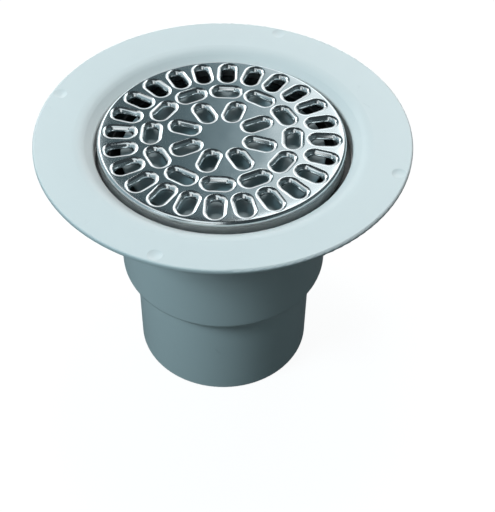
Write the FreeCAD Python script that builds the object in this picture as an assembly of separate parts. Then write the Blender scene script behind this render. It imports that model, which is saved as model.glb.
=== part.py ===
import FreeCAD, Part
import math
import os

# Round floor drain with a vertical outlet: a moulded PVC body, a loose bell that makes the water
# seal, a ring that lines the funnel, and a loose pressed grate that stands on that ring.
# Millimetres, +Z up, origin at the centre of the outlet's end face.

# Outlet spigot, for a 90 mm drain pipe
OUTLET_DIAMETER = 90.0
OUTLET_WALL = 3.0
OUTLET_LENGTH = 57.0
OUTLET_CHAMFER = 1.0

# Cup of the trap
SHOULDER = 7.7              # how far the cup stands out past the outlet, on the radius
CUP_WALL = 3.0
CUP_DRAFT = 1.0             # radius that the cup loses from the funnel down to its floor
CUP_DEPTH = 66.0            # from the seat in the recess down to the trap floor
CUP_EDGE_RADIUS = 4.0
TRAP_FLOOR = 3.0

# Funnel, recess for the grate, dish and flange
FUNNEL_WIDTH = 5.0          # how far the cup widens towards the seat, on the radius
FUNNEL_DEPTH = 16.5
SEAT_WIDTH = 6.0
RECESS_DEPTH = 6.7
RECESS_EDGE_RADIUS = 1.6
DISH_WIDTH = 6.3
DISH_DEPTH = 4.8
DISH_EDGE_RADIUS = 10.0
FLANGE_WIDTH = 21.0
FLANGE_FALL = 1.5           # how far the flange falls from its rim to the dish
FLANGE_THICKNESS = 2.6
RIM_RADIUS = 0.9
INSIDE_RADIUS = 1.0         # small rounding of the moulding's other edges

# Shallow dimples in the flange
DIMPLE_COUNT = 4
DIMPLE_DIAMETER = 6.4
DIMPLE_DEPTH = 0.6
DIMPLE_INSET = 5.0
DIMPLE_ANGLE = -20.0

# Standpipe and bell
STANDPIPE_WALL = 2.5
OUTER_PASSAGE = 6.2         # water way between the cup and the bell
INNER_PASSAGE = 8.0         # water way between the bell and the standpipe
BELL_WALL = 2.0
BELL_FLOOR_GAP = 8.0        # bell's lower edge above the trap floor
BELL_HEADROOM = 18.0        # standpipe's rim below the bell's ceiling
BELL_GRATE_GAP = 6.5        # bell's top below the grate's lowest edge
BELL_EDGE_RADIUS = 3.0
FIN_COUNT = 4
FIN_THICKNESS = 2.0
FIN_ANGLE = 45.0
FIN_LAP = 6.0               # how far each fin reaches down beside the standpipe
FIN_REACH = 2.0             # how far each fin reaches in past the standpipe's wall
FIN_CLEARANCE = 0.5

# Ring that hangs in the funnel by its rim
RING_RIM = 1.5              # thickness of the rim that lies on the seat
RING_WALL = 1.5
RING_STOP = 1.5             # ring's lower edge above the funnel's lower end
RING_CLEARANCE = 0.4        # on the radius, to the funnel and to the recess wall

# Pressed grate
GRATE_CLEARANCE = 2.4       # on the radius, to the recess wall
GRATE_SHIFT = 0.65          # how far the loose grate lies to one side
GRATE_HEIGHT = 9.0
SHEET = 1.0
GRATE_BEND_RADIUS = 1.5
SLOT_LENGTH = 12.3
SLOT_WIDTH = 6.0
SLOT_DRAW_WIDTH = 2.0       # width of the drawn-down border round each slot
SLOT_DRAW_DEPTH = 3.0
SIDE_WEB = 1.5              # flat metal left between slots that lie side by side
END_WEB = 0.8               # flat metal left between slots that lie end to end
RING_WEB = 1.6              # flat metal left between two rings
EDGE_WEB = 0.7              # flat metal left between the outer ring and the bend of the skirt
SLOT_ANGLE = 26.5

# Radii, worked out from the outlet outwards
outlet_r = OUTLET_DIAMETER / 2
outlet_bore_r = outlet_r - OUTLET_WALL
cup_top_r = outlet_r + SHOULDER
cup_low_r = cup_top_r - CUP_DRAFT
cup_top_bore_r = cup_top_r - CUP_WALL
cup_low_bore_r = cup_low_r - CUP_WALL
recess_r = cup_top_bore_r + FUNNEL_WIDTH + SEAT_WIDTH
recess_outer_r = recess_r + CUP_WALL
dish_r = recess_r + DISH_WIDTH
rim_r = dish_r + FLANGE_WIDTH
grate_r = recess_r - GRATE_CLEARANCE

# Radii, worked out from the cup inwards
bell_r = cup_low_bore_r - OUTER_PASSAGE
bell_bore_r = bell_r - BELL_WALL
standpipe_r = bell_bore_r - INNER_PASSAGE
standpipe_bore_r = standpipe_r - STANDPIPE_WALL

# Heights
floor_under_z = OUTLET_LENGTH
floor_z = floor_under_z + TRAP_FLOOR
seat_z = floor_z + CUP_DEPTH
seat_under_z = seat_z - CUP_WALL
funnel_low_z = seat_z - FUNNEL_DEPTH
ring_z = seat_z + RING_RIM
recess_edge_z = seat_z + RECESS_DEPTH
dish_z = recess_edge_z + DISH_DEPTH
rim_z = dish_z + FLANGE_FALL
grate_z = ring_z + GRATE_HEIGHT
bell_z = grate_z - SLOT_DRAW_DEPTH - BELL_GRATE_GAP
bell_ceiling_z = bell_z - BELL_WALL
bell_low_z = floor_z + BELL_FLOOR_GAP
standpipe_z = bell_ceiling_z - BELL_HEADROOM

Z_AXIS = FreeCAD.Vector(0, 0, 1)
ORIGIN = FreeCAD.Vector(0, 0, 0)


def profile_face(corners):
    """Face in the XZ plane from (radius, height, rounding) corners, each rounded by a tangent arc."""
    points = [FreeCAD.Vector(r, 0, z) for r, z, rounding in corners]
    edges = []
    ends = []
    for i, (r, z, rounding) in enumerate(corners):
        point = points[i]
        before = points[i - 1] - point
        after = points[(i + 1) % len(points)] - point
        if rounding == 0:
            ends.append((point, point, None))
            continue
        half_angle = before.getAngle(after) / 2
        room = 0.48 * min(before.Length, after.Length)
        setback = min(rounding / math.tan(half_angle), room)
        start = point + before.normalize() * setback
        end = point + after.normalize() * setback
        bisector = (before + after).normalize()
        centre_distance = setback / math.cos(half_angle)
        radius = setback * math.tan(half_angle)
        ends.append((start, end, point + bisector * (centre_distance - radius)))
    for i, (start, end, middle) in enumerate(ends):
        if middle is not None:
            edges.append(Part.Arc(start, middle, end).toShape())
        following = ends[(i + 1) % len(ends)][0]
        if (following - end).Length > 1e-6:
            edges.append(Part.LineSegment(end, following).toShape())
    return Part.Face(Part.Wire(edges))


def turned(corners):
    """Solid of revolution round the drain's axis."""
    return profile_face(corners).revolve(ORIGIN, Z_AXIS, 360)


def around(shape, count, first_angle):
    """Copies of a shape in a ring round the drain's axis."""
    copies = []
    for i in range(count):
        copy = shape.copy()
        copy.rotate(ORIGIN, Z_AXIS, first_angle + i * 360.0 / count)
        copies.append(copy)
    return copies


def drain_body():
    """One moulding: spigot, cup, recess, dish, flange and the standpipe inside."""
    dish_slope = DISH_DEPTH / DISH_WIDTH
    flange_slope = FLANGE_FALL / FLANGE_WIDTH
    dish_drop = FLANGE_THICKNESS * math.hypot(1, dish_slope)
    flange_drop = FLANGE_THICKNESS * math.hypot(1, flange_slope)
    under_dish_z = recess_edge_z + dish_slope * CUP_WALL - dish_drop
    under_corner_r = dish_r + (dish_drop - flange_drop) / (dish_slope - flange_slope)
    under_corner_z = dish_z + flange_slope * (under_corner_r - dish_r) - flange_drop
    under_seat_r = cup_top_r + FUNNEL_WIDTH * (1 - CUP_WALL / FUNNEL_DEPTH)
    body = turned([
        (outlet_bore_r, 0, 0),
        (outlet_r - OUTLET_CHAMFER, 0, 0),
        (outlet_r, OUTLET_CHAMFER, 0),
        (outlet_r, floor_under_z, 0),
        (cup_low_r, floor_under_z, CUP_EDGE_RADIUS),
        (cup_top_r, funnel_low_z, CUP_EDGE_RADIUS),
        (under_seat_r, seat_under_z, 0),
        (recess_outer_r, seat_under_z, INSIDE_RADIUS),
        (recess_outer_r, under_dish_z, 0),
        (under_corner_r, under_corner_z, 0),
        (rim_r, rim_z - FLANGE_THICKNESS, RIM_RADIUS),
        (rim_r, rim_z, RIM_RADIUS),
        (dish_r, dish_z, DISH_EDGE_RADIUS),
        (recess_r, recess_edge_z, RECESS_EDGE_RADIUS),
        (recess_r, seat_z, 0),
        (cup_top_bore_r + FUNNEL_WIDTH, seat_z, INSIDE_RADIUS / 2),
        (cup_top_bore_r, funnel_low_z, CUP_EDGE_RADIUS),
        (cup_low_bore_r, floor_z, INSIDE_RADIUS),
        (standpipe_r, floor_z, 0),
        (standpipe_r, standpipe_z, 0),
        (standpipe_bore_r, standpipe_z, 0),
        (standpipe_bore_r, floor_under_z, 0),
        (outlet_bore_r, floor_under_z, 0),
    ])
    dimple_r = rim_r - DIMPLE_INSET
    dimple_top_z = rim_z - flange_slope * DIMPLE_INSET
    ball_r = ((DIMPLE_DIAMETER / 2) ** 2 + DIMPLE_DEPTH ** 2) / (2 * DIMPLE_DEPTH)
    ball = Part.makeSphere(ball_r, FreeCAD.Vector(dimple_r, 0, dimple_top_z - DIMPLE_DEPTH + ball_r))
    return body.cut(around(ball, DIMPLE_COUNT, DIMPLE_ANGLE))


def trap_bell():
    """Upside-down cup with inner fins that stand on the standpipe's rim and centre the bell on it."""
    shell = turned([
        (0, bell_z, 0),
        (bell_r, bell_z, BELL_EDGE_RADIUS),
        (bell_r, bell_low_z, 0),
        (bell_bore_r, bell_low_z, 0),
        (bell_bore_r, bell_ceiling_z, BELL_EDGE_RADIUS - BELL_WALL),
        (0, bell_ceiling_z, 0),
    ])
    fin_top_z = bell_ceiling_z + BELL_WALL / 2
    fin_end_r = bell_r - BELL_WALL / 2
    fin = profile_face([
        (standpipe_bore_r - FIN_REACH, fin_top_z, 0),
        (fin_end_r, fin_top_z, 0),
        (fin_end_r, standpipe_z - FIN_LAP, 0),
        (standpipe_r + FIN_CLEARANCE, standpipe_z - FIN_LAP, 0),
        (standpipe_r + FIN_CLEARANCE, standpipe_z, 0),
        (standpipe_bore_r - FIN_REACH, standpipe_z, 0),
    ]).extrude(FreeCAD.Vector(0, FIN_THICKNESS, 0))
    fin.translate(FreeCAD.Vector(0, -FIN_THICKNESS / 2, 0))
    return shell.fuse(around(fin, FIN_COUNT, FIN_ANGLE)).removeSplitter()


def funnel_ring():
    """Ring that lines the funnel; its rim lies on the seat and carries the grate."""
    taper = FUNNEL_WIDTH / FUNNEL_DEPTH
    low_z = funnel_low_z + RING_STOP
    outer_top_r = cup_top_bore_r + FUNNEL_WIDTH - RING_CLEARANCE
    outer_low_r = outer_top_r - taper * (seat_z - low_z)
    wall = RING_WALL * math.hypot(1, taper)
    return turned([
        (outer_low_r, low_z, 0),
        (outer_top_r, seat_z, 0),
        (recess_r - RING_CLEARANCE, seat_z, 0),
        (recess_r - RING_CLEARANCE, ring_z, 0),
        (outer_top_r - wall + taper * RING_RIM, ring_z, INSIDE_RADIUS),
        (outer_low_r - wall, low_z, 0),
    ])


def slot_frustum(top_border, top_z, low_border, low_z):
    """Long-round block with sloping sides, lying along X: the slot's outline plus a border at each level."""
    half_straight = (SLOT_LENGTH - SLOT_WIDTH) / 2
    top_r = SLOT_WIDTH / 2 + top_border
    low_r = SLOT_WIDTH / 2 + low_border
    middle_face = Part.Face(Part.makePolygon([
        FreeCAD.Vector(-half_straight, -top_r, top_z),
        FreeCAD.Vector(-half_straight, top_r, top_z),
        FreeCAD.Vector(-half_straight, low_r, low_z),
        FreeCAD.Vector(-half_straight, -low_r, low_z),
        FreeCAD.Vector(-half_straight, -top_r, top_z),
    ]))
    block = middle_face.extrude(FreeCAD.Vector(2 * half_straight, 0, 0))
    end_face = Part.Face(Part.makePolygon([
        FreeCAD.Vector(half_straight, 0, top_z),
        FreeCAD.Vector(half_straight, -top_r, top_z),
        FreeCAD.Vector(half_straight, -low_r, low_z),
        FreeCAD.Vector(half_straight, 0, low_z),
        FreeCAD.Vector(half_straight, 0, top_z),
    ]))
    right_end = end_face.revolve(FreeCAD.Vector(half_straight, 0, 0), Z_AXIS, 180)
    left_end = right_end.copy()
    left_end.rotate(ORIGIN, Z_AXIS, 180)
    return block.fuse([right_end, left_end]).removeSplitter()


def slot_rings():
    """(ring radius, slot count, turn) of each ring from the rim inwards, radial and tangential in turn."""
    half_length = SLOT_LENGTH / 2 + SLOT_DRAW_WIDTH
    half_width = SLOT_WIDTH / 2 + SLOT_DRAW_WIDTH
    end_setback = half_length - half_width
    rings = []
    ring_r = grate_r - GRATE_BEND_RADIUS - EDGE_WEB - half_length
    radial = True
    while ring_r > half_length:
        if radial:
            count = int(2 * math.pi * (ring_r - end_setback) / (2 * half_width + SIDE_WEB))
        else:
            count = int(2 * math.pi * ring_r / (2 * half_length + END_WEB))
        rings.append((ring_r, count, 0 if radial else 90))
        ring_r -= half_length + half_width + RING_WEB
        radial = not radial
    return rings


def grate():
    """Pressed sheet with a turned-down skirt and slots whose borders are drawn down."""
    under_z = grate_z - SHEET
    sheet = turned([
        (0, grate_z, 0),
        (grate_r, grate_z, GRATE_BEND_RADIUS),
        (grate_r, ring_z, 0),
        (grate_r - SHEET, ring_z, 0),
        (grate_r - SHEET, under_z, max(GRATE_BEND_RADIUS - SHEET, 0)),
        (0, under_z, 0),
    ])
    lip_z = grate_z - SLOT_DRAW_DEPTH
    spread = SLOT_DRAW_WIDTH / SLOT_DRAW_DEPTH
    lip_width = SHEET * math.hypot(1, spread)
    root_z = grate_z - SHEET / 2
    root_border = lip_width + spread * (root_z - lip_z)
    boss = slot_frustum(root_border, root_z, lip_width, lip_z)
    dip = slot_frustum(SLOT_DRAW_WIDTH, grate_z, 0, lip_z)
    bosses = []
    dips = []
    for ring_r, count, turn in slot_rings():
        for shape, ring in ((boss, bosses), (dip, dips)):
            first = shape.copy()
            first.rotate(ORIGIN, Z_AXIS, turn)
            first.translate(FreeCAD.Vector(ring_r, 0, 0))
            ring.extend(around(first, count, SLOT_ANGLE))
    pressed = sheet.fuse(bosses).cut(dips).removeSplitter()
    # the loose grate lies a little to one side in its recess
    pressed.translate(FreeCAD.Vector(-GRATE_SHIFT, 0, 0))
    return pressed


os.makedirs("parts", exist_ok=True)
for make in (drain_body, trap_bell, funnel_ring, grate):
    name = make.__name__
    shape = make()
    solid = shape.Solids[0] if len(shape.Solids) == 1 else shape
    solid.exportStep("parts/" + name + ".step")
    print(name, "solids", len(shape.Solids), "valid", shape.isValid(), "volume", round(shape.Volume, 1))
print("grate diameter", round(2 * grate_r, 2), "rings", [(round(r, 2), n) for r, n, turn in slot_rings()])
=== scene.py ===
import math

import bmesh
import bpy
from mathutils import Matrix, Vector


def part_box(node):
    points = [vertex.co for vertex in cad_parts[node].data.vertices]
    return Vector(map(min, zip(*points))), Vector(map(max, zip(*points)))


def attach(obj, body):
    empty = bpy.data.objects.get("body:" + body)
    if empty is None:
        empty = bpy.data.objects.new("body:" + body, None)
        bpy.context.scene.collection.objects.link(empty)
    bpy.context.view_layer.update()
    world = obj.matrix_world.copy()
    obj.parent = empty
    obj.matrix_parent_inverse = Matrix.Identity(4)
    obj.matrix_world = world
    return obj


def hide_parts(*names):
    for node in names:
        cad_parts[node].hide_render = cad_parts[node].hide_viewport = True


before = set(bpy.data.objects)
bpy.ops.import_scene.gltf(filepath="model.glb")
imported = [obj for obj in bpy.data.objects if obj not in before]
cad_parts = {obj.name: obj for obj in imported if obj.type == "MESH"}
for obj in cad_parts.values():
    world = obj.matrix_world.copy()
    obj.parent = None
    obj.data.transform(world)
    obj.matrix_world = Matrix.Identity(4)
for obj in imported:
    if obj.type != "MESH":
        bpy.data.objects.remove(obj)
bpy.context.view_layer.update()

# Round floor drain: a moulded PVC body, a trap bell with a wide flat cap, a black ring in the funnel and a
# pressed stainless grate that lies loose in the recess. The ring's black is partly painted shade: it stands
# in for the deep shade down the gap and through the far slots.
# Metres, +Z up, the same frame as the solids: the outlet's end face stands on the floor at z = 0.

MM = 0.001

# Sizes read from the frame
BODY_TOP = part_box("drain_body")[1].z
BELL_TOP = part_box("trap_bell")[1].z
grate_low, grate_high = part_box("grate")
GRATE_CENTRE = Vector(((grate_low.x + grate_high.x) / 2, 0, grate_high.z))
GRATE_RADIUS = (grate_high.x - grate_low.x) / 2
GRATE_HEIGHT = grate_high.z - grate_low.z

# Pressed grate
SHEET = 0.8 * MM
RIM_BEND = 1.5 * MM
RIM_STEPS = 8                       # steps over the rim's bend
EDGE_STEPS = 6                      # steps round the skirt's lower edge
INSIDE_STEPS = 3                    # steps inside the bend
RIM_POINTS = 240                    # points round the grate
SHOULDER_WIDTH = 3.0 * MM           # how far in from the rim the sheet starts to droop
SHOULDER_RADIUS = 30.0 * MM
SHOULDER_DROP = SHOULDER_WIDTH ** 2 / (2 * SHOULDER_RADIUS)
SLOT_LENGTH = 11.9 * MM
SLOT_WIDTH = 5.6 * MM
SLOT_POINTS = 50                    # points round a slot; 2 more than a multiple of 4, so none has x = 0
LIP_BENDS = (                       # as the sheet turns down into a slot: rounding, slope reached, steps
    (2.0 * MM, math.radians(14), 3),
    (6.1 * MM, math.radians(26), 3),
    (0.6 * MM, math.radians(54), 4),
    (5.0 * MM, math.radians(74), 5),
)
LIP_DEPTH = 2.4 * MM                # top of the sheet down to the end of the lip's upper face
LIP_END_STEPS = 4
SLOT_RINGS = (                      # ring radius, number of slots, turn of each slot from radial
    (47.95 * MM, 24, 0),
    (33.20 * MM, 12, math.pi / 2),
    (18.45 * MM, 8, 0),
)
FIRST_SLOT = math.radians(26.5)
FLAT_STRIP = 0.03 * MM              # narrow flat strip that keeps the sheet's shading flat
WELD_DISTANCE = 0.002 * MM

# Flat cap of the trap bell, wider than the bell's wall
CAP_RADIUS = 48.5 * MM
CAP_THICKNESS = 1.5 * MM
CAP_POINTS = 128
CAP_EDGE_STEPS = 6

# Plastics and steel
WHITE_PVC = "#dcdbd9"
# The grey of the trap bell and its cap is partly painted shade: toned darker and teal for the dim light
# under the grate
GREY_PVC_AND_SHADE = "#9aa6a9"
# Painted shade: the funnel ring's black stands in for the deep shade seen down the gap and through the far
# slots
BLACK_RING_AND_SHADE = "#1b1e1f"
STAINLESS = "#d9e1e3"
PVC_IOR = 1.53
PP_IOR = 1.49
CLOUD_SIZE = 45 * MM                # flow marks in the plastic
CLOUD_TONE = 0.93                   # share of the plastic's colour that a full mark keeps
RUB_SIZE = 11 * MM                  # rubs from handling
RUB_TONE = 0.84
RUB_DULLNESS = 0.15                 # roughness that a full rub adds
GRAIN_SIZE = 0.7 * MM               # grain that the mould leaves
GRAIN_DEPTH = 0.1 * MM
PULL_SIZE = 14 * MM                 # waves that the press leaves in the sheet
PULL_DEPTH = 1.0 * MM
HAZE_SIZE = 3 * MM                  # haze that polishing leaves on the sheet
SKIRT_DULLNESS = 0.34               # roughness that the drawn skirt adds
SKIRT_DULL_FROM = 1.7 * RIM_BEND    # depths below the grate's top between which the skirt turns dull
SKIRT_DULL_TO = 2 * RIM_BEND

# Stage
FLOOR_SIZE = 12.0
FLOOR_MATT = (0.06, 0.06, 0.06, 1)  # floor as it lights the object from below
FLOOR_PALE = (0.12, 0.12, 0.12, 1)  # floor as the camera sees it, on top of its glow
FLOOR_GLOW = 0.94
ROOM_LIGHT = "#b6dfe9"
ROOM_STRENGTH = 0.21
DARK_CLOTH = (0.05, 0.065, 0.07)
GREY_CLOTH = (0.10, 0.13, 0.14)
WHITE_CLOTH = (1.0, 1.05, 1.07)
FULL_WHITE = (1.0, 1.0, 1.0)
FLANGE_MIDDLE = (0, 0, BODY_TOP)
CUP_FOOT = (0, 0, 60 * MM)          # near the crease between the cup and the outlet spigot

# Camera, fitted to the rings of slots in the photograph
IMAGE_LONG_SIDE = 512
FOCAL_PIXELS = 1057.0
CAMERA_DISTANCE = 496.3 * MM        # from the middle of the grate's top
CAMERA_ELEVATION = math.radians(40.17)
CAMERA_PAN = math.radians(1.37)
CAMERA_TILT = math.radians(-6.5)
SENSOR = 36.0                       # width in millimetres


def linear(hex_colour):
    """sRGB hex colour as linear RGBA."""
    channels = [int(hex_colour[i:i + 2], 16) / 255 for i in (1, 3, 5)]
    return [c / 12.92 if c <= 0.04045 else ((c + 0.055) / 1.055) ** 2.4 for c in channels] + [1]


def darker(colour, share):
    """Linear colour with only a share of its brightness."""
    return [share * c for c in colour[:3]] + [1]


def add_object(name, data):
    """New object in the scene."""
    thing = bpy.data.objects.new(name, data)
    bpy.context.scene.collection.objects.link(thing)
    return thing


def add_node(tree, kind, inputs=None, **settings):
    """Adds a node with its settings; each input is a constant or the socket that feeds it."""
    node = tree.nodes.new(kind)
    for name, value in settings.items():
        setattr(node, name, value)
    for key, value in (inputs or {}).items():
        if isinstance(value, bpy.types.NodeSocket):
            tree.links.new(value, node.inputs[key])
        else:
            node.inputs[key].default_value = value
    return node


def maths(tree, operation, *values):
    """Result of a maths node; each value is a constant or the socket that feeds it."""
    return add_node(tree, "ShaderNodeMath", dict(enumerate(values)), operation=operation).outputs[0]


def new_material(name):
    """Material and its emptied node tree."""
    material = bpy.data.materials.new(name)
    material.use_nodes = True
    material.node_tree.nodes.clear()
    return material, material.node_tree


# Materials

# Rigid plastic from an injection mould: one even colour with a satin skin, faint cloudy flow marks, a very
# fine grain from the mould and a few dull rubs from handling.
def moulded_plastic(name, hex_colour, ior):
    """Material of one moulded piece in the colour it is given."""
    material, tree = new_material(name)
    place = add_node(tree, "ShaderNodeTexCoord").outputs["Object"]
    clouds = add_node(tree, "ShaderNodeTexNoise", {
        "Vector": place, "Scale": 1 / CLOUD_SIZE, "Detail": 3.0, "Roughness": 0.5})
    rubs = add_node(tree, "ShaderNodeTexNoise", {
        "Vector": place, "Scale": 1 / RUB_SIZE, "Detail": 5.0, "Roughness": 0.6, "Distortion": 1.2})
    rubbed = add_node(tree, "ShaderNodeMapRange", {
        "Value": rubs.outputs["Fac"], "From Min": 0.66, "From Max": 0.76, "To Min": 0.0, "To Max": 0.6})
    colour = linear(hex_colour)
    tone = add_node(tree, "ShaderNodeMix", {
        0: clouds.outputs["Fac"], 6: colour, 7: darker(colour, CLOUD_TONE)}, data_type="RGBA")
    worn = add_node(tree, "ShaderNodeMix", {
        0: rubbed.outputs["Result"], 6: tone.outputs[2], 7: darker(colour, RUB_TONE)}, data_type="RGBA")
    gloss = add_node(tree, "ShaderNodeMapRange", {
        "Value": clouds.outputs["Fac"], "To Min": 0.30, "To Max": 0.42})
    dulled = maths(tree, "MULTIPLY_ADD", rubbed.outputs["Result"], RUB_DULLNESS, gloss.outputs["Result"])
    grain = add_node(tree, "ShaderNodeTexNoise", {
        "Vector": place, "Scale": 1 / GRAIN_SIZE, "Detail": 2.0})
    bump = add_node(tree, "ShaderNodeBump", {
        "Height": grain.outputs["Fac"], "Strength": 0.05, "Distance": GRAIN_DEPTH})
    skin = add_node(tree, "ShaderNodeBsdfPrincipled", {
        "Base Color": worn.outputs[2], "Roughness": dulled, "IOR": ior, "Normal": bump.outputs["Normal"]})
    add_node(tree, "ShaderNodeOutputMaterial", {"Surface": skin.outputs["BSDF"]})
    return material


# Cold-rolled stainless sheet, pressed and polished: a mirror softened by a fine haze, a little uneven where
# the press has pulled it, and duller on the skirt that the die has drawn.
def pressed_stainless():
    """Material of the grate."""
    material, tree = new_material("pressed_stainless")
    place = add_node(tree, "ShaderNodeTexCoord").outputs["Object"]
    pull = add_node(tree, "ShaderNodeTexNoise", {
        "Vector": place, "Scale": 1 / PULL_SIZE, "Detail": 1.0})
    haze = add_node(tree, "ShaderNodeTexNoise", {
        "Vector": place, "Scale": 1 / HAZE_SIZE, "Detail": 4.0, "Roughness": 0.65})
    gloss = add_node(tree, "ShaderNodeMapRange", {
        "Value": haze.outputs["Fac"], "To Min": 0.11, "To Max": 0.16})
    height = add_node(tree, "ShaderNodeSeparateXYZ", {0: place}).outputs["Z"]
    drawn = add_node(tree, "ShaderNodeMapRange", {
        "Value": height, "From Min": GRATE_CENTRE.z - SKIRT_DULL_TO,
        "From Max": GRATE_CENTRE.z - SKIRT_DULL_FROM, "To Min": SKIRT_DULLNESS, "To Max": 0.0})
    dulled = maths(tree, "ADD", gloss.outputs["Result"], drawn.outputs["Result"])
    bump = add_node(tree, "ShaderNodeBump", {
        "Height": pull.outputs["Fac"], "Strength": 0.14, "Distance": PULL_DEPTH})
    metal = add_node(tree, "ShaderNodeBsdfPrincipled", {
        "Base Color": linear(STAINLESS), "Metallic": 1.0, "Roughness": dulled,
        "Normal": bump.outputs["Normal"]})
    add_node(tree, "ShaderNodeOutputMaterial", {"Surface": metal.outputs["BSDF"]})
    return material


# Pressed grate, a Geometry Nodes tree that sweeps the sheet's section round each slot and round the rim

def arc(centre, radius, start, end, steps):
    """Points on a circle's arc, in a section's plane."""
    turns = [start + (end - start) * i / steps for i in range(steps + 1)]
    return [(centre[0] + radius * math.cos(a), centre[1] + radius * math.sin(a)) for a in turns]


def lip_section():
    """Section of the sheet at a slot, over the lip and back under it, as (out from its edge, down)."""
    out, down, slope = 0.0, 0.0, 0.0
    upper = [(FLAT_STRIP, 0.0, 0.0), (out, down, slope)]
    for radius, reached, steps in LIP_BENDS:
        for i in range(1, steps + 1):
            turn = slope + (reached - slope) * i / steps
            upper.append((out - radius * (math.sin(turn) - math.sin(slope)),
                          down + radius * (math.cos(slope) - math.cos(turn)), turn))
        out, down, slope = upper[-1]
    out -= (LIP_DEPTH - down) / math.tan(slope)
    down = LIP_DEPTH
    upper.append((out + FLAT_STRIP * math.cos(slope), down - FLAT_STRIP * math.sin(slope), slope))
    upper.append((out, down, slope))
    half = SHEET / 2
    end = []
    for i in range(1, LIP_END_STEPS):
        turn = slope - math.pi * i / LIP_END_STEPS
        end.append((out + half * math.sin(slope) - half * math.sin(turn),
                    down + half * math.cos(slope) - half * math.cos(turn)))
    under = [(o + SHEET * math.sin(t), d + SHEET * math.cos(t)) for o, d, t in reversed(upper)]
    section = [(o, d) for o, d, t in upper] + end + under
    return [(o - out, d) for o, d in section]


def rim_section():
    """Section of the sheet at the grate's rim as (out from the rim's radius, down)."""
    centre = (-RIM_BEND, RIM_BEND)
    height = GRATE_HEIGHT - SHOULDER_DROP
    low_centre = (-SHEET / 2, height - SHEET / 2)
    outer = arc(centre, RIM_BEND, -math.pi / 2, 0, RIM_STEPS)
    support = [(0, RIM_BEND + FLAT_STRIP), (0, height - SHEET / 2 - FLAT_STRIP)]
    low = arc(low_centre, SHEET / 2, 0, math.pi, EDGE_STEPS)
    inner = arc(centre, RIM_BEND - SHEET, 0, -math.pi / 2, INSIDE_STEPS)
    start = -RIM_BEND - FLAT_STRIP
    return [(start, 0)] + outer + support + low + inner + [(start, SHEET)]


def section_object(name, points):
    """Open curve that holds a section, to be swept and then thrown away."""
    curve = bpy.data.curves.new(name, "CURVE")
    curve.dimensions = "3D"
    spline = curve.splines.new("POLY")
    spline.points.add(len(points) - 1)
    for point, (out, down) in zip(spline.points, points):
        point.co = (out, down, 0, 1)
    return add_object(name, curve)


def grate_inputs(tree):
    """Gives the grate's tree its inputs and returns their identifiers by name."""
    kinds = {"Lip Section": "Object", "Rim Section": "Object", "Steel": "Material"}
    for name in ("Sheet", "Grate Radius", "Slot Length", "Slot Width", "First Slot", "Shoulder Start",
                 "Shoulder Radius"):
        kinds[name] = "Float"
    for i in range(len(SLOT_RINGS)):
        kinds["Ring Radius %d" % i] = "Float"
        kinds["Ring Count %d" % i] = "Int"
        kinds["Ring Turn %d" % i] = "Float"
    identifiers = {}
    for name, kind in kinds.items():
        socket = tree.interface.new_socket(name, in_out="INPUT", socket_type="NodeSocket" + kind)
        identifiers[name] = socket.identifier
    return identifiers


def slot_outline(tree, given):
    """Long-round outline of a slot's opening: a circle whose two halves are pushed apart."""
    half_width = maths(tree, "DIVIDE", given["Slot Width"], 2.0)
    spare = maths(tree, "SUBTRACT", given["Slot Length"], given["Slot Width"])
    half_spare = maths(tree, "DIVIDE", spare, 2.0)
    circle = add_node(tree, "GeometryNodeCurvePrimitiveCircle", {
        "Resolution": SLOT_POINTS, "Radius": half_width}).outputs["Curve"]
    place = add_node(tree, "GeometryNodeInputPosition").outputs[0]
    across = add_node(tree, "ShaderNodeSeparateXYZ", {0: place}).outputs["X"]
    push = maths(tree, "MULTIPLY", maths(tree, "SIGN", across), half_spare)
    apart = add_node(tree, "ShaderNodeCombineXYZ", {"X": push}).outputs[0]
    return add_node(tree, "GeometryNodeSetPosition", {"Geometry": circle, "Offset": apart}).outputs[0]


def drawn_slots(tree, given):
    """Rings of drawn slots, each the lip's section swept round the slot's outline."""
    lip = add_node(tree, "GeometryNodeObjectInfo", {"Object": given["Lip Section"]}).outputs["Geometry"]
    slot = add_node(tree, "GeometryNodeCurveToMesh", {
        "Curve": slot_outline(tree, given), "Profile Curve": lip}).outputs[0]
    place = add_node(tree, "GeometryNodeInputPosition").outputs[0]
    rings = add_node(tree, "GeometryNodeJoinGeometry")
    for i in range(len(SLOT_RINGS)):
        spin = add_node(tree, "ShaderNodeCombineXYZ", {"Z": given["Ring Turn %d" % i]}).outputs[0]
        turned = add_node(tree, "GeometryNodeTransform", {"Geometry": slot, "Rotation": spin}).outputs[0]
        places = add_node(tree, "GeometryNodeMeshCircle", {
            "Vertices": given["Ring Count %d" % i], "Radius": given["Ring Radius %d" % i]}).outputs[0]
        heading = add_node(tree, "FunctionNodeAlignRotationToVector", {"Vector": place}, axis="X",
                           pivot_axis="Z").outputs[0]
        ring = add_node(tree, "GeometryNodeInstanceOnPoints", {
            "Points": places, "Instance": turned, "Rotation": heading}).outputs[0]
        tree.links.new(ring, rings.inputs[0])
    first = add_node(tree, "ShaderNodeCombineXYZ", {"Z": given["First Slot"]}).outputs[0]
    placed = add_node(tree, "GeometryNodeTransform", {
        "Geometry": rings.outputs[0], "Rotation": first}).outputs[0]
    return add_node(tree, "GeometryNodeRealizeInstances", {"Geometry": placed}).outputs[0]


def turned_rim(tree, given):
    """Rim of the sheet, turned down into a skirt."""
    edge = add_node(tree, "GeometryNodeCurvePrimitiveCircle", {
        "Resolution": RIM_POINTS, "Radius": given["Grate Radius"]}).outputs["Curve"]
    bend = add_node(tree, "GeometryNodeObjectInfo", {"Object": given["Rim Section"]}).outputs["Geometry"]
    return add_node(tree, "GeometryNodeCurveToMesh", {"Curve": edge, "Profile Curve": bend}).outputs[0]


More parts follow.
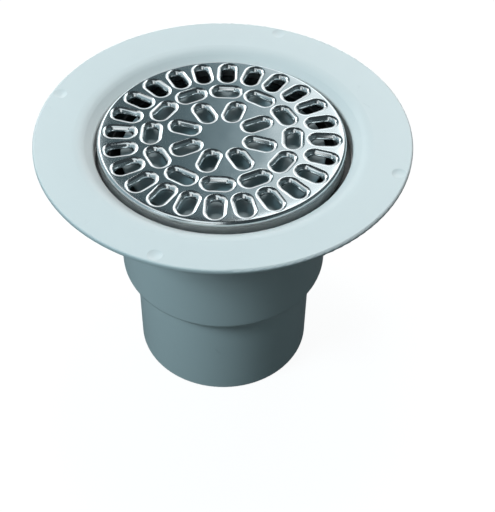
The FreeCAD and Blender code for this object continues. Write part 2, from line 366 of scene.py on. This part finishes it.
def filled_sheet(tree, given, pressed):
    """Rim and slots with the flat sheet between them, filled at the top and at the underside."""
    faces = add_node(tree, "GeometryNodeInputMeshEdgeNeighbors").outputs[0]
    open_edge = add_node(tree, "FunctionNodeCompare", {2: faces, 3: 1}, data_type="INT",
                         operation="EQUAL").outputs[0]
    place = add_node(tree, "GeometryNodeInputPosition").outputs[0]
    height = add_node(tree, "ShaderNodeSeparateXYZ", {0: place}).outputs["Z"]
    half_down = maths(tree, "MULTIPLY", given["Sheet"], -0.5)
    is_top = add_node(tree, "FunctionNodeCompare", {0: height, 1: half_down}, data_type="FLOAT",
                      operation="GREATER_THAN").outputs[0]
    is_under = add_node(tree, "FunctionNodeBooleanMath", {0: is_top}, operation="NOT").outputs[0]
    down = maths(tree, "MULTIPLY", given["Sheet"], -1.0)
    sunk = add_node(tree, "ShaderNodeCombineXYZ", {"Z": down}).outputs[0]
    whole = add_node(tree, "GeometryNodeJoinGeometry")
    tree.links.new(pressed, whole.inputs[0])
    for level, offset in ((is_top, (0, 0, 0)), (is_under, sunk)):
        chosen = add_node(tree, "FunctionNodeBooleanMath", {0: open_edge, 1: level},
                          operation="AND").outputs[0]
        loops = add_node(tree, "GeometryNodeMeshToCurve", {"Mesh": pressed, "Selection": chosen}).outputs[0]
        flat = add_node(tree, "GeometryNodeFillCurve", {"Curve": loops}).outputs[0]
        moved = add_node(tree, "GeometryNodeTransform", {
            "Geometry": flat, "Translation": offset}).outputs[0]
        tree.links.new(moved, whole.inputs[0])
    return add_node(tree, "GeometryNodeMergeByDistance", {
        "Geometry": whole.outputs[0], "Distance": WELD_DISTANCE}).outputs[0]


def soft_shoulder(tree, given, sheet):
    """Sheet that droops past the shoulder's start, as the square of the way out."""
    place = add_node(tree, "GeometryNodeInputPosition").outputs[0]
    level = add_node(tree, "ShaderNodeVectorMath", {0: place, 1: (1, 1, 0)},
                     operation="MULTIPLY").outputs[0]
    reach = add_node(tree, "ShaderNodeVectorMath", {0: level}, operation="LENGTH").outputs["Value"]
    way = maths(tree, "MAXIMUM", maths(tree, "SUBTRACT", reach, given["Shoulder Start"]), 0.0)
    half_square = maths(tree, "MULTIPLY", maths(tree, "MULTIPLY", way, way), -0.5)
    droop = maths(tree, "DIVIDE", half_square, given["Shoulder Radius"])
    sink = add_node(tree, "ShaderNodeCombineXYZ", {"Z": droop}).outputs[0]
    return add_node(tree, "GeometryNodeSetPosition", {"Geometry": sheet, "Offset": sink}).outputs[0]


def grate_tree():
    """Geometry Nodes tree of the grate; returns it with the identifiers of its named inputs."""
    tree = bpy.data.node_groups.new("pressed_grate", "GeometryNodeTree")
    tree.interface.new_socket("Geometry", in_out="OUTPUT", socket_type="NodeSocketGeometry")
    identifiers = grate_inputs(tree)
    given = add_node(tree, "NodeGroupInput").outputs
    pressed = add_node(tree, "GeometryNodeJoinGeometry")
    tree.links.new(turned_rim(tree, given), pressed.inputs[0])
    tree.links.new(drawn_slots(tree, given), pressed.inputs[0])
    sheet = filled_sheet(tree, given, pressed.outputs[0])
    drooped = soft_shoulder(tree, given, sheet)
    smooth = add_node(tree, "GeometryNodeSetShadeSmooth", {"Geometry": drooped}).outputs[0]
    finished = add_node(tree, "GeometryNodeSetMaterial", {
        "Geometry": smooth, "Material": given["Steel"]}).outputs[0]
    add_node(tree, "NodeGroupOutput", {0: finished})
    return tree, identifiers


def make_grate(steel):
    """Runs the tree once and keeps its result as a plain mesh in the grate's place."""
    tree, identifiers = grate_tree()
    lip = section_object("lip_section", lip_section())
    rim = section_object("rim_section", rim_section())
    carrier = add_object("grate_carrier", bpy.data.meshes.new("grate_carrier"))
    modifier = carrier.modifiers.new("pressed_grate", "NODES")
    modifier.node_group = tree
    values = {
        "Lip Section": lip, "Rim Section": rim, "Steel": steel, "Sheet": SHEET,
        "Grate Radius": GRATE_RADIUS, "Slot Length": SLOT_LENGTH, "Slot Width": SLOT_WIDTH,
        "First Slot": FIRST_SLOT, "Shoulder Start": GRATE_RADIUS - SHOULDER_WIDTH,
        "Shoulder Radius": SHOULDER_RADIUS}
    for i, (radius, count, turn) in enumerate(SLOT_RINGS):
        values["Ring Radius %d" % i] = radius
        values["Ring Count %d" % i] = count
        values["Ring Turn %d" % i] = float(turn)
    for name, value in values.items():
        modifier[identifiers[name]] = value
    evaluated = carrier.evaluated_get(bpy.context.evaluated_depsgraph_get())
    mesh = bpy.data.meshes.new_from_object(evaluated)
    for spare in (carrier, lip, rim):
        bpy.data.objects.remove(spare)
    mesh.transform(Matrix.Translation(GRATE_CENTRE))
    work = bmesh.new()
    work.from_mesh(mesh)
    bmesh.ops.recalc_face_normals(work, faces=work.faces)
    work.to_mesh(mesh)
    work.free()
    return add_object("pressed_grate", mesh)


# Cap of the trap bell

def make_bell_cap(plastic):
    """Disc with a rounded edge that lies on the trap bell."""
    half = CAP_THICKNESS / 2
    edge = arc((CAP_RADIUS - half, BELL_TOP + half), half, -math.pi / 2, math.pi / 2, CAP_EDGE_STEPS)
    work = bmesh.new()
    turns = [2 * math.pi * i / CAP_POINTS for i in range(CAP_POINTS)]
    rings = [[work.verts.new((r * math.cos(a), r * math.sin(a), z)) for a in turns] for r, z in edge]
    for lower, upper in zip(rings, rings[1:]):
        for i in range(CAP_POINTS):
            face = work.faces.new((lower[i - 1], lower[i], upper[i], upper[i - 1]))
            face.smooth = True
    work.faces.new(reversed(rings[0]))
    work.faces.new(rings[-1])
    mesh = bpy.data.meshes.new("bell_cap")
    work.to_mesh(mesh)
    work.free()
    mesh.materials.append(plastic)
    return add_object("bell_cap", mesh)


# Stage

def rectangle(name, width, height):
    """Flat mesh of one face in the XY plane, with its middle at the origin."""
    mesh = bpy.data.meshes.new(name)
    x, y = width / 2, height / 2
    mesh.from_pydata([(-x, -y, 0), (x, -y, 0), (x, y, 0), (-x, y, 0)], [], [(0, 1, 2, 3)])
    return mesh


def seen_or_mirrored(tree):
    """1 for what the camera sees directly, in a reflection or through something clear, otherwise 0."""
    rays = add_node(tree, "ShaderNodeLightPath").outputs
    seen = maths(tree, "MAXIMUM", rays["Is Camera Ray"], rays["Is Glossy Ray"])
    return maths(tree, "MAXIMUM", seen, rays["Is Transmission Ray"])


def make_floor():
    """Pale floor that looks white to the camera and in reflections and keeps a faint shadow."""
    mesh = rectangle("floor", FLOOR_SIZE, FLOOR_SIZE)
    material, tree = new_material("pale_floor")
    shown = seen_or_mirrored(tree)
    matt = add_node(tree, "ShaderNodeBsdfDiffuse", {"Color": FLOOR_MATT})
    pale = add_node(tree, "ShaderNodeBsdfDiffuse", {"Color": FLOOR_PALE})
    glow = add_node(tree, "ShaderNodeEmission", {"Strength": FLOOR_GLOW})
    white = add_node(tree, "ShaderNodeAddShader", {0: pale.outputs[0], 1: glow.outputs[0]})
    surface = add_node(tree, "ShaderNodeMixShader", {0: shown, 1: matt.outputs[0], 2: white.outputs[0]})
    add_node(tree, "ShaderNodeOutputMaterial", {"Surface": surface.outputs[0]})
    mesh.materials.append(material)
    floor = add_object("floor", mesh)


def make_world():
    """White room to the camera and in reflections, a dim even light on everything else."""
    world = bpy.data.worlds.new("studio")
    world.use_nodes = True
    tree = world.node_tree
    tree.nodes.clear()
    shown = seen_or_mirrored(tree)
    dim = add_node(tree, "ShaderNodeBackground", {"Color": linear(ROOM_LIGHT), "Strength": ROOM_STRENGTH})
    white = add_node(tree, "ShaderNodeBackground", {"Color": (1, 1, 1, 1), "Strength": 1.0})
    both = add_node(tree, "ShaderNodeMixShader", {0: shown, 1: dim.outputs[0], 2: white.outputs[0]})
    add_node(tree, "ShaderNodeOutputWorld", {"Surface": both.outputs[0]})
    bpy.context.scene.world = world


def make_light(name, place, target, width, height, power, hex_colour="#ffffff"):
    """Rectangular softbox that looks at a point and that polished surfaces don't mirror."""
    light = bpy.data.lights.new(name, "AREA")
    light.shape = "RECTANGLE"
    light.size = width
    light.size_y = height
    light.energy = power
    light.color = linear(hex_colour)[:3]
    lamp = add_object(name, light)
    lamp.location = place
    lamp.rotation_euler = (Vector(target) - Vector(place)).to_track_quat("-Z", "Y").to_euler()
    lamp.visible_glossy = False


def fade_along_x(tree, stops):
    """Colour that runs along X through stops of (x, linear colour)."""
    start, length = stops[0][0], stops[-1][0] - stops[0][0]
    place = add_node(tree, "ShaderNodeTexCoord").outputs["Object"]
    along = add_node(tree, "ShaderNodeSeparateXYZ", {0: place}).outputs["X"]
    share = add_node(tree, "ShaderNodeMapRange", {
        "Value": along, "From Min": start, "From Max": start + length})
    ramp = add_node(tree, "ShaderNodeValToRGB", {"Fac": share.outputs["Result"]})
    marks = ramp.color_ramp.elements
    for stop in stops[1:-1]:
        marks.new((stop[0] - start) / length)
    for mark, stop in zip(marks, stops):
        mark.color = list(stop[1]) + [1]
    return ramp.outputs["Color"]


def make_card(name, centre, target, width, height, colour=None, fade=None):
    """Card in one colour, or in a fade along X, that only polished surfaces see."""
    mesh = rectangle(name, width, height)
    turn = (Vector(target) - Vector(centre)).to_track_quat("Z", "Y").to_matrix().to_4x4()
    mesh.transform(Matrix.Translation(centre) @ turn)
    material, tree = new_material(name)
    shade = fade_along_x(tree, fade) if fade else list(colour) + [1]
    cloth = add_node(tree, "ShaderNodeEmission", {"Color": shade, "Strength": 1.0})
    add_node(tree, "ShaderNodeOutputMaterial", {"Surface": cloth.outputs[0]})
    mesh.materials.append(material)
    card = add_object(name, mesh)
    card.visible_camera = False
    card.visible_diffuse = False
    card.visible_shadow = False


def make_camera():
    """Camera at the photograph's viewpoint: aimed at the grate, then panned and tilted off it."""
    forward = Vector((0, math.cos(CAMERA_ELEVATION), -math.sin(CAMERA_ELEVATION)))
    right = Vector((1, 0, 0))
    up = right.cross(forward)
    panned = forward * math.cos(CAMERA_PAN) + right * math.sin(CAMERA_PAN)
    right = right * math.cos(CAMERA_PAN) - forward * math.sin(CAMERA_PAN)
    aim = panned * math.cos(CAMERA_TILT) + up * math.sin(CAMERA_TILT)
    up = up * math.cos(CAMERA_TILT) - panned * math.sin(CAMERA_TILT)
    data = bpy.data.cameras.new("camera")
    data.sensor_width = SENSOR
    data.lens = FOCAL_PIXELS / IMAGE_LONG_SIDE * SENSOR
    camera = add_object("camera", data)
    turn = Matrix((right, up, -aim)).transposed().to_4x4()
    camera.matrix_world = Matrix.Translation(GRATE_CENTRE - forward * CAMERA_DISTANCE) @ turn
    bpy.context.scene.camera = camera


# The drain's pieces
steel = pressed_stainless()
# The bell's and cap's grey is partly painted shade, for the dim light under the grate
bell_grey_and_shade = moulded_plastic("moulded_grey_pvc_painted_shade", GREY_PVC_AND_SHADE, PVC_IOR)
mouldings = (
    ("drain_body", "body_pvc", moulded_plastic("moulded_white_pvc", WHITE_PVC, PVC_IOR)),
    ("trap_bell", "bell_pvc", bell_grey_and_shade),
    # The ring's black is partly painted shade, for the deep shade down the gap and the far slots
    ("funnel_ring", "ring_pp", moulded_plastic("moulded_black_pp_painted_shade", BLACK_RING_AND_SHADE, PP_IOR)),
)
for name, slot, material in mouldings:
    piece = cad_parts[name]
    piece.data.materials.clear()
    piece.data.materials.append(material)

cap = make_bell_cap(bell_grey_and_shade)
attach(cap, "root")

grate = make_grate(steel)
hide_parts("grate")
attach(grate, "root")

make_floor()
make_world()

# Cards for the reflections: name, centre, point it faces, width, height, colour or fade
back_fade = (
    (-0.150, (0.30, 0.36, 0.38)),
    (-0.115, (0.06, 0.09, 0.10)),
    (-0.030, (0.10, 0.145, 0.163)),
    (0.030, (0.27, 0.35, 0.38)),
    (0.080, WHITE_CLOTH),
)
front_fade = (
    (-1.03, GREY_CLOTH),
    (-0.56, (0.12, 0.15, 0.16)),
    (-0.36, FULL_WHITE),
    (-0.12, FULL_WHITE),
    (0.06, DARK_CLOTH),
    (0.68, DARK_CLOTH),
)
make_card("back_card", (-0.015, 0.40, 0.47), (-0.015, 0, 0.47), 0.29, 0.28, fade=back_fade)
make_card("upper_back_card", (-0.11, 0.40, 0.90), (-0.11, 0, 0.90), 0.28, 0.58, (0.035, 0.045, 0.05))
make_card("back_right_window", (0.162, 0.657, 0.65), FLANGE_MIDDLE, 0.31, 0.66, (2.1, 2.15, 2.17))
make_card("back_left_window", (-0.305, 0.61, 0.57), FLANGE_MIDDLE, 0.30, 0.36, (3.0, 3.1, 3.15))
make_card("ceiling_card", (0.22, -0.14, 1.20), (0.22, -0.14, 0), 1.30, 1.52, (0.04, 0.05, 0.055))
make_card("overhead_card", (-0.35, -0.39, 1.02), (-0.35, -0.39, 0), 0.70, 0.94, WHITE_CLOTH)
make_card("front_card", (0, -0.90, 1.10), (0, 0, 1.10), 2.0, 0.66, DARK_CLOTH)
make_card("low_front_card", (-0.175, -0.90, 0.46), (-0.175, 0, 0.46), 1.71, 0.62, fade=front_fade)
make_card("left_card", (-0.80, -0.15, 0.63), (0, -0.15, 0.63), 1.60, 1.26, (0.36, 0.46, 0.50))
make_card("left_window", (-0.79, -0.49, 0.59), FLANGE_MIDDLE, 0.40, 0.28, (1.3, 1.35, 1.37))
make_card("right_card", (0.72, 0, 0.63), (0, 0, 0.63), 2.00, 1.26, GREY_CLOTH)
# Painted shadow: a dark card on the floor round the drain, seen only in reflections, stands in for the
# drain's shadow on the floor
make_card("floor_card", (0, 0, 0.0002), (0, 0, 1), 0.60, 0.60, (0.05, 0.06, 0.065))

# Softboxes: name, place, point it lights, width, height, watts, colour
make_light("key_softbox", (0, 0.26, 0.90), FLANGE_MIDDLE, 0.26, 0.26, 3.1)
make_light("left_softbox", (-0.68, -0.42, 0.82), CUP_FOOT, 0.36, 0.30, 6.8, "#c5ecf9")
make_light("back_softbox", (0.10, 1.05, 0.55), CUP_FOOT, 0.9, 0.6, 5.0, "#dcf2f9")
make_camera()
bpy.context.scene.view_settings.view_transform = "Standard"
